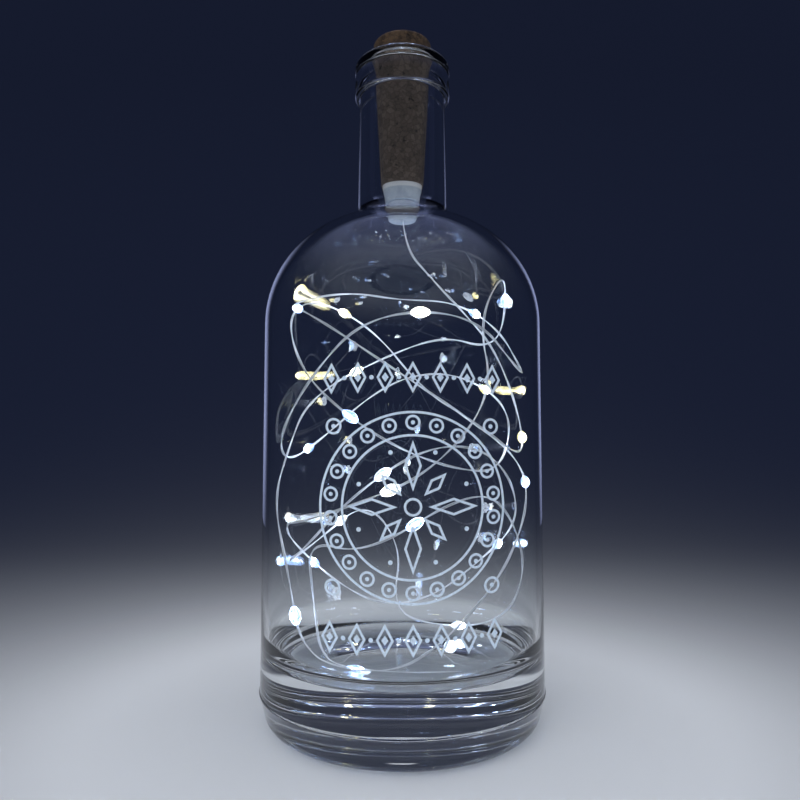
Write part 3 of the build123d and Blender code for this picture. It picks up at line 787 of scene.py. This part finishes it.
def build_cork_grain():
    """Pressed cork: granules of mixed tone, dark seams between them and small dark pores."""
    group = bpy.data.node_groups.new("cork_grain", "ShaderNodeTree")
    group_sockets(
        group,
        [("Scale", "NodeSocketFloat", 450.0), ("Light", "NodeSocketColor", (1, 1, 1, 1)),
         ("Deep", "NodeSocketColor", (0.5, 0.5, 0.5, 1)), ("Pore", "NodeSocketColor", (0, 0, 0, 1))],
        [("Colour", "NodeSocketColor"), ("Roughness", "NodeSocketFloat"), ("Height", "NodeSocketFloat")],
    )
    entry = group.nodes.new("NodeGroupInput")
    result = group.nodes.new("NodeGroupOutput")
    place = group.nodes.new("ShaderNodeTexCoord")
    granules = group.nodes.new("ShaderNodeTexVoronoi")
    seams = group.nodes.new("ShaderNodeTexVoronoi")
    seams.feature = "DISTANCE_TO_EDGE"
    pores = add_node(group, "ShaderNodeTexNoise", Detail=5.0, Roughness=0.65)
    wander = add_node(group, "ShaderNodeTexNoise", Scale=900.0, Detail=2.0)
    pushed = group.nodes.new("ShaderNodeVectorMath")
    pushed.operation = "MULTIPLY_ADD"
    pushed.inputs[1].default_value = (SEAM_WANDER, SEAM_WANDER, SEAM_WANDER)
    tones = group.nodes.new("ShaderNodeSeparateColor")
    seam_mask = add_node(group, "ShaderNodeMapRange", From_Min=0.0, From_Max=0.12, To_Min=0.5, To_Max=0.0)
    pore_mask = add_node(group, "ShaderNodeMapRange", From_Min=0.56, From_Max=0.68)
    dark = add_math(group, "MAXIMUM")
    granule_colour = add_blend(group)
    colour = add_blend(group)
    rough = add_node(group, "ShaderNodeMapRange", To_Min=0.55, To_Max=0.85)
    height = add_math(group, "SUBTRACT", first=1.0)
    link(group, place.outputs["Object"], wander.inputs["Vector"])
    link(group, wander.outputs["Color"], pushed.inputs[0])
    link(group, place.outputs["Object"], pushed.inputs[2])
    for texture in (granules, seams, pores):
        link(group, pushed.outputs["Vector"], texture.inputs["Vector"])
        link(group, entry.outputs["Scale"], texture.inputs["Scale"])
    link(group, granules.outputs["Color"], tones.inputs["Color"])
    link(group, tones.outputs["Red"], granule_colour.inputs["Factor"])
    link(group, entry.outputs["Light"], granule_colour.inputs["A"])
    link(group, entry.outputs["Deep"], granule_colour.inputs["B"])
    link(group, seams.outputs["Distance"], seam_mask.inputs["Value"])
    link(group, pores.outputs["Fac"], pore_mask.inputs["Value"])
    link(group, seam_mask.outputs["Result"], dark.inputs[0])
    link(group, pore_mask.outputs["Result"], dark.inputs[1])
    link(group, dark.outputs[0], colour.inputs["Factor"])
    link(group, granule_colour.outputs["Result"], colour.inputs["A"])
    link(group, entry.outputs["Pore"], colour.inputs["B"])
    link(group, pores.outputs["Fac"], rough.inputs["Value"])
    link(group, dark.outputs[0], height.inputs[1])
    link(group, colour.outputs["Result"], result.inputs["Colour"])
    link(group, rough.outputs["Result"], result.inputs["Roughness"])
    link(group, height.outputs[0], result.inputs["Height"])
    return group


CORK_GRAIN = build_cork_grain()
print("built group", CORK_GRAIN.name)

# %% Cork finishes
CORK_SCALE = 620
CORK_RELIEF = 0.25 * MM
DARK_BROWNS = [(0.092, 0.052, 0.023), (0.040, 0.022, 0.010), (0.010, 0.006, 0.004)]
SLEEVE_BROWNS = [(0.160, 0.118, 0.090), (0.092, 0.066, 0.050), (0.024, 0.017, 0.013)]


def pressed_cork(name, browns):
    """Pressed cork in three brown tones: pale granules, deep granules and pores."""
    material, tree, shader = new_finish(name)
    grain = tree.nodes.new("ShaderNodeGroup")
    grain.node_tree = CORK_GRAIN
    grain.inputs["Scale"].default_value = CORK_SCALE
    for tone, brown in zip(("Light", "Deep", "Pore"), browns):
        grain.inputs[tone].default_value = (*brown, 1)
    relief = add_node(tree, "ShaderNodeBump", Strength=0.5, Distance=CORK_RELIEF)
    link(tree, grain.outputs["Colour"], shader.inputs["Base Color"])
    link(tree, grain.outputs["Roughness"], shader.inputs["Roughness"])
    link(tree, grain.outputs["Height"], relief.inputs["Height"])
    link(tree, relief.outputs["Normal"], shader.inputs["Normal"])
    return material


dress(["cork_head"], pressed_cork("dark_cork", DARK_BROWNS))
dress(["cork_sleeve"], pressed_cork("sleeve_cork", SLEEVE_BROWNS))
print("cork finished")

# %% [markdown]
# ## End piece and inner pieces
# A milky clear end piece closes the stopper below, and the string leaves through it. Everything else sits
# inside the cork, and the carrier with its cells and contacts shows when the head is drawn out.

# %% Milky plastic
# Painted highlight: a white band at the top of the end piece, just under the cork, stands in for its lit
# rim.
RIM_HIGHLIGHT_HEIGHT = 1.6 * MM
RIM_HIGHLIGHT_FADE = 0.4 * MM
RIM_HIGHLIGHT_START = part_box("cork_sleeve")[0].z - RIM_HIGHLIGHT_HEIGHT
MILKY_TINTS = [(0.86, 0.92, 0.98), (0.36, 0.43, 0.54)]
MILKY_CLEARNESS = 0.35
PLASTIC_IOR = 1.49


def milky_plastic_finish():
    """Clear plastic with a milky cast and a white band under the cork, which is a painted highlight of the
    lit rim.
    """
    material, tree, shader = new_finish("milky_plastic")
    tone = place_mottle(tree, MILKY_TINTS, (0.04, 0.16), 350)
    place = tree.nodes.new("ShaderNodeTexCoord")
    level = tree.nodes.new("ShaderNodeSeparateXYZ")
    # Painted highlight: white over the top band of the end piece, under the cork.
    rim = add_node(tree, "ShaderNodeMapRange", From_Min=RIM_HIGHLIGHT_START, From_Max=RIM_HIGHLIGHT_START + RIM_HIGHLIGHT_FADE)
    colour = add_blend(tree, second=(1.0, 1.0, 1.0))
    link(tree, place.outputs["Object"], level.inputs["Vector"])
    link(tree, level.outputs["Z"], rim.inputs["Value"])
    link(tree, rim.outputs["Result"], colour.inputs["Factor"])
    link(tree, tone.outputs["Colour"], colour.inputs["A"])
    link(tree, colour.outputs["Result"], shader.inputs["Base Color"])
    link(tree, tone.outputs["Roughness"], shader.inputs["Roughness"])
    shader.inputs["Transmission Weight"].default_value = MILKY_CLEARNESS
    shader.inputs["IOR"].default_value = PLASTIC_IOR
    return material


dress(["wire_gland"], milky_plastic_finish())
# The painted highlight on the end piece starts at this height.
print("ground rim starts", round(RIM_HIGHLIGHT_START / MM, 1), "mm up")

# %% Inner finishes
INNER_SCALE = 700
INNER_FINISHES = {
    "set_glue": (["glue_drop"], [(0.80, 0.76, 0.66), (0.70, 0.66, 0.56)], (0.25, 0.4), 0.0),
    "green_board": (["lamp_board"], [(0.02, 0.16, 0.07), (0.015, 0.11, 0.05)], (0.3, 0.45), 0.0),
    "resistor_black": (["series_resistor"], [(0.03, 0.03, 0.032), (0.05, 0.05, 0.052)], (0.35, 0.5), 0.0),
    "copper_core": (["inner_leads"], [(0.80, 0.42, 0.26), (0.66, 0.33, 0.20)], (0.2, 0.35), 1.0),
    "solder": (["solder_joints"], [(0.74, 0.74, 0.73), (0.58, 0.58, 0.58)], (0.2, 0.4), 1.0),
    "spring_steel": (["negative_spring"], [(0.66, 0.66, 0.67), (0.50, 0.50, 0.52)], (0.2, 0.35), 1.0),
    "nickel_strip": (
        ["strip_spring", "top_contact", "positive_strip"],
        [(0.72, 0.69, 0.63), (0.60, 0.57, 0.52)], (0.2, 0.4), 0.85,
    ),
    "carrier_plastic": (["cell_carrier"], [(0.11, 0.07, 0.045), (0.085, 0.055, 0.036)], (0.4, 0.55), 0.0),
    "cell_steel": (
        ["button_cell_1", "button_cell_2", "button_cell_3"],
        [(0.72, 0.72, 0.71), (0.62, 0.62, 0.62)], (0.16, 0.3), 0.85,
    ),
    "switch_insulator": (["switch_base"], [(0.22, 0.13, 0.07), (0.17, 0.10, 0.055)], (0.5, 0.65), 0.0),
    "wiper_brass": (["switch_wiper"], [(0.78, 0.58, 0.28), (0.66, 0.48, 0.22)], (0.2, 0.35), 1.0),
    "knob_black": (["switch_knob"], [(0.025, 0.025, 0.027), (0.04, 0.04, 0.042)], (0.4, 0.55), 0.0),
}
for finish, (solids, colours, rough, metallic) in INNER_FINISHES.items():
    dress(solids, mottled(finish, colours, rough, INNER_SCALE, metallic, bump=0.08))
print("inner finishes:", len(INNER_FINISHES))

# %% [markdown]
# ## Stage
# Pale lines and lights show best against a deeper tone, so the bottle stands on studio paper with a painted
# pool
# of light: pale round its foot, running into slate blue further off, where the paper turns up into a
# backdrop. It lies a hair under the bottle, so that the two faces never coincide.

# %% Floor and backdrop
PAPER_SIZE = 3.0
PAPER_PLACE = (0, -0.3, -0.3 * MM)
PAPER_RISE = 2.0
PAPER_BEND = 0.9
BACK_FROM = 1.0
FLOOR_BELOW = 0.1


def backdrop():
    """Floor plane whose back edge is pulled up, with a wide rounding between."""
    deselect_all()
    bpy.ops.mesh.primitive_plane_add(size=PAPER_SIZE, location=PAPER_PLACE)
    piece = bpy.context.object
    piece.name = "backdrop"
    bpy.ops.object.mode_set(mode="EDIT")
    bpy.ops.mesh.select_mode(type="EDGE")
    bpy.ops.mesh.select_all(action="DESELECT")
    bpy.ops.object.mode_set(mode="OBJECT")
    for edge in piece.data.edges:
        ends = [piece.data.vertices[index].co.y for index in edge.vertices]
        edge.select = min(ends) > BACK_FROM
    bpy.ops.object.mode_set(mode="EDIT")
    bpy.ops.mesh.extrude_region_move(TRANSFORM_OT_translate={"value": (0, 0, PAPER_RISE)})
    bpy.ops.object.mode_set(mode="OBJECT")
    for edge in piece.data.edges:
        ends = [piece.data.vertices[index].co for index in edge.vertices]
        edge.select = all(end.y > BACK_FROM and end.z < FLOOR_BELOW for end in ends)
    bpy.ops.object.mode_set(mode="EDIT")
    bpy.ops.mesh.bevel(offset=PAPER_BEND, segments=24, affect="EDGES")
    bpy.ops.object.mode_set(mode="OBJECT")
    place_in_mesh(piece)
    bpy.ops.object.shade_smooth()
    return piece


stage = backdrop()
print("stage has", len(stage.data.polygons), "faces")

# %% Paper finish
# Pale tints of the painted pool of light round the bottle, and the slate further off.
PALE_TINTS = [(0.56, 0.58, 0.62), (0.53, 0.55, 0.59)]
SLATE = (0.0104, 0.0140, 0.0316)
LIGHT_POOL_REACH = 0.09
SLATE_REACH = 1.2


def paper_light_pool_finish():
    """Matt paper with a painted pool of light: pale near the bottle and slate blue away from it."""
    material = mottled("paper_light_pool", PALE_TINTS, (0.6, 0.7), 3.0)
    tree = material.node_tree
    shader = tree.nodes["Principled BSDF"]
    pale = shader.inputs["Base Color"].links[0].from_socket
    place = tree.nodes.new("ShaderNodeTexCoord")
    distance = tree.nodes.new("ShaderNodeVectorMath")
    distance.operation = "LENGTH"
    nearness = add_math(tree, "DIVIDE", first=1.0)
    # Painted pool of light: the paper's colour grades from pale round the bottle to slate further off.
    grade = add_node(tree, "ShaderNodeMapRange", From_Min=1 / LIGHT_POOL_REACH, From_Max=1 / SLATE_REACH)
    grade.interpolation_type = "SMOOTHSTEP"
    blend = add_blend(tree, second=SLATE)
    link(tree, place.outputs["Object"], distance.inputs[0])
    link(tree, distance.outputs["Value"], nearness.inputs[1])
    link(tree, nearness.outputs["Value"], grade.inputs["Value"])
    link(tree, grade.outputs["Result"], blend.inputs["Factor"])
    link(tree, pale, blend.inputs["A"])
    link(tree, blend.outputs["Result"], shader.inputs["Base Color"])
    shader.inputs["Specular IOR Level"].default_value = 0.0
    return material


give_finish(stage, paper_light_pool_finish())
print("stage set")

# %% [markdown]
# ## Light
# Two large soft lamps, in front and above, give the light a direction; most of it comes from the room round
# the stage. They are hidden from reflections, so they leave no bright patch on the glass.


# %% Studio lamps
def soft_lamp(name, place, target, size, power):
    """Square soft lamp that looks at a point and isn't mirrored in the glass."""
    data = bpy.data.lights.new(name, "AREA")
    data.shape = "SQUARE"
    data.size = size
    data.energy = power
    lamp = bpy.data.objects.new(name, data)
    lamp.location = place
    lamp.rotation_euler = (Vector(target) - Vector(place)).to_track_quat("-Z", "Y").to_euler()
    lamp.visible_glossy = False
    lamp.visible_transmission = False
    scene.collection.objects.link(lamp)
    print(name, "of", power, "W")


soft_lamp("front_lamp", place=(-0.55, -0.85, 0.75), target=(0, 0, 0.1), size=0.7, power=3.0)
soft_lamp("top_lamp", place=(0.1, 0.1, 1.2), target=(0, 0.05, 0), size=0.9, power=2.0)

# %% [markdown]
# The lamps on the string throw light as well, on the wire, the cork's lower end and the inside of the glass.
# Their chips are too small for that: few rays would find them. So a small round light stands beside each
# drop, towards the middle of the bottle. The glass mirrors these lights as bright dots.

# %% Light of the lamps
LAMP_LIGHT_COLOUR = (0.72, 0.82, 1.0)
LAMP_LIGHT_POWER = 0.008
LAMP_LIGHT_RADIUS = 2.2 * MM
LAMP_LIGHT_DISTANCE = 4.2 * MM


def lamp_light(name):
    """Small round light beside a lamp, on the side of the bottle's axis."""
    low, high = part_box(name)
    centre = (low + high) / 2
    inward = Vector((-centre.x, -centre.y, 0)).normalized()
    data = bpy.data.lights.new(f"{name}_light", "POINT")
    data.energy = LAMP_LIGHT_POWER
    data.shadow_soft_size = LAMP_LIGHT_RADIUS
    data.color = LAMP_LIGHT_COLOUR
    light = bpy.data.objects.new(f"{name}_light", data)
    light.location = centre + inward * LAMP_LIGHT_DISTANCE
    light.visible_camera = False
    light.visible_transmission = False
    scene.collection.objects.link(light)


for name in LAMP_NAMES:
    lamp_light(name)
print("small lights:", len(LAMP_NAMES))

# %% [markdown]
# Glass shows its shape by what it mirrors. A tall luminous panel on each side, a little behind the bottle,
# draws a fine line of light along each edge. The panels fade out towards their own edges, so that the lines
# end softly, and only reflections see them.

# %% Luminous panels
PANEL_COLOUR = (0.50, 0.58, 1.0)
PANEL_STRENGTH = 1.0
PANEL_HEIGHT = 0.56


def panel_finish():
    """Light that fades out towards the panel's edges."""
    material, tree, shader = new_finish("panel_light")
    place = tree.nodes.new("ShaderNodeTexCoord")
    centred = tree.nodes.new("ShaderNodeVectorMath")
    centred.operation = "SUBTRACT"
    centred.inputs[1].default_value = (0.5, 0.5, 0)
    distance = tree.nodes.new("ShaderNodeVectorMath")
    distance.operation = "ABSOLUTE"
    split = tree.nodes.new("ShaderNodeSeparateXYZ")
    across = add_node(tree, "ShaderNodeMapRange", From_Min=0.05, From_Max=0.5, To_Min=1.0, To_Max=0.0)
    along = add_node(tree, "ShaderNodeMapRange", From_Min=0.15, From_Max=0.5, To_Min=1.0, To_Max=0.0)
    across.interpolation_type = "SMOOTHSTEP"
    along.interpolation_type = "SMOOTHSTEP"
    both = add_math(tree, "MULTIPLY")
    link(tree, place.outputs["UV"], centred.inputs[0])
    link(tree, centred.outputs["Vector"], distance.inputs[0])
    link(tree, distance.outputs["Vector"], split.inputs["Vector"])
    link(tree, split.outputs["X"], across.inputs["Value"])
    link(tree, split.outputs["Y"], along.inputs["Value"])
    link(tree, across.outputs["Result"], both.inputs[0])
    link(tree, along.outputs["Result"], both.inputs[1])
    colour = tint_between(tree, both.outputs["Value"], [(0, 0, 0), PANEL_COLOUR])
    link(tree, colour, shader.inputs["Emission Color"])
    shader.inputs["Base Color"].default_value = (0, 0, 0, 1)
    shader.inputs["Emission Strength"].default_value = PANEL_STRENGTH
    return material


def luminous_panel(name, place, width, material):
    """Upright panel that faces the bottle and is seen only in reflections."""
    deselect_all()
    facing = math.atan2(-place[0], place[1])
    bpy.ops.mesh.primitive_plane_add(size=1.0, location=place, rotation=(math.pi / 2, 0, facing))
    panel = bpy.context.object
    panel.name = name
    panel.scale = (width, PANEL_HEIGHT, 1)
    panel.data.materials.append(material)
    panel.visible_camera = False
    panel.visible_diffuse = False
    panel.visible_transmission = False
    panel.visible_shadow = False
    print(name, "is", width, "m wide")


panel_light = panel_finish()
luminous_panel("left_panel", (-0.26, 0.42, 0.20), 0.24, panel_light)
luminous_panel("right_panel", (0.26, 0.42, 0.20), 0.18, panel_light)

# %% [markdown]
# The room round the stage lights everything evenly. What the camera and the glass see of it is the same
# slate tone as the backdrop, so the bottle looks alike from all sides. Only overhead it is paler, which lays
# a soft sheen on the shoulder.

# %% Room light
ROOM_LIGHT = (0.92, 0.95, 1.0)
ROOM_SLATE = (0.0095, 0.0129, 0.0309)
ROOM_OVERHEAD = (0.19, 0.225, 0.42)


def room_colour(tree):
    """Colour of the room where it is seen: slate all round and pale overhead."""
    place = tree.nodes.new("ShaderNodeTexCoord")
    split = tree.nodes.new("ShaderNodeSeparateXYZ")
    height = add_node(tree, "ShaderNodeMapRange", From_Min=0.55, From_Max=1.0)
    height.interpolation_type = "SMOOTHSTEP"
    link(tree, place.outputs["Generated"], split.inputs["Vector"])
    link(tree, split.outputs["Z"], height.inputs["Value"])
    return tint_between(tree, height.outputs["Result"], [ROOM_SLATE, ROOM_OVERHEAD])


def studio_room():
    """World with one colour for its light and others where it is seen, mirrored or looked through at."""
    world = bpy.data.worlds.new("studio")
    scene.world = world
    world.use_nodes = True
    tree = world.node_tree
    path = tree.nodes.new("ShaderNodeLightPath")
    mirrored = add_math(tree, "MAXIMUM")
    shown = add_math(tree, "MAXIMUM")
    unlit = add_math(tree, "SUBTRACT")
    unlit.use_clamp = True
    colour = add_blend(tree, first=ROOM_LIGHT)
    link(tree, room_colour(tree), colour.inputs["B"])
    link(tree, path.outputs["Is Glossy Ray"], mirrored.inputs[0])
    link(tree, path.outputs["Is Transmission Ray"], mirrored.inputs[1])
    link(tree, path.outputs["Is Camera Ray"], shown.inputs[0])
    link(tree, mirrored.outputs["Value"], shown.inputs[1])
    link(tree, shown.outputs["Value"], unlit.inputs[0])
    link(tree, path.outputs["Diffuse Depth"], unlit.inputs[1])
    link(tree, unlit.outputs["Value"], colour.inputs["Factor"])
    link(tree, colour.outputs["Result"], tree.nodes["Background"].inputs["Color"])


studio_room()
print("studio lit")
